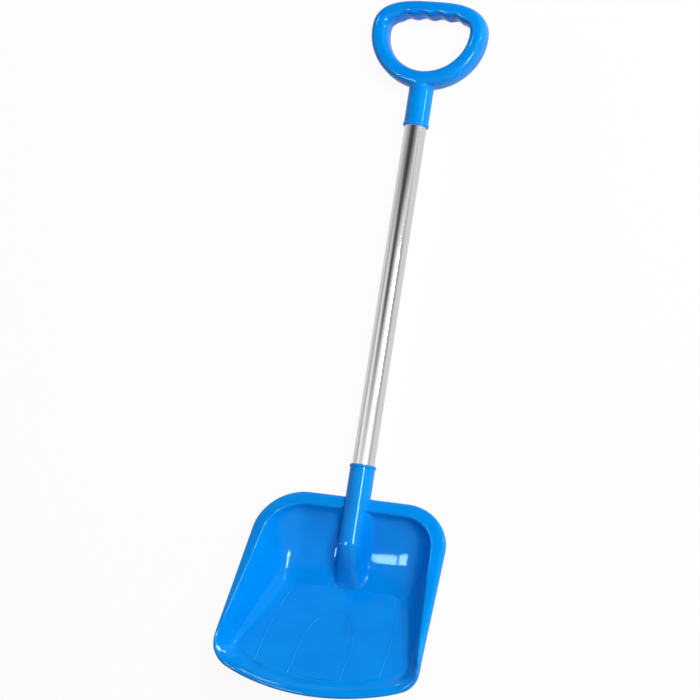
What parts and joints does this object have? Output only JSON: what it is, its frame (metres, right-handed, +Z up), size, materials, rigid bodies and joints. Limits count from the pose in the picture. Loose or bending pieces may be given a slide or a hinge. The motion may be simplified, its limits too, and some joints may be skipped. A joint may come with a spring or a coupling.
{
  "type": "sand shovel",
  "caption": "Long-handled sand shovel: a deep thin-walled scoop and a hollow loop grip fixed on a straight chromed tube.",
  "frame": {"origin": "on the ground, under the middle of the shovel as it lies on the scoop's heel and the handle's back", "axes": "+X across the scoop, +Y along the tube from the scoop to the handle, +Z up, the side the scoop opens to"},
  "size_m": [0.2064, 0.7014, 0.0818],
  "materials": {
    "blue_plastic": "glossy injection-moulded, with fine mould marks",
    "chromed_tube": "bright plating over drawn tube, faint lengthwise lines",
    "screw_steel": "zinc plated"
  },
  "bodies": {
    "root": {"scoop": "blue_plastic", "shaft_tube": "chromed_tube", "handle_front": "blue_plastic", "handle_back": "blue_plastic", "scoop_screw": "screw_steel", "handle_screw": "screw_steel"}
  },
  "joints": []
}
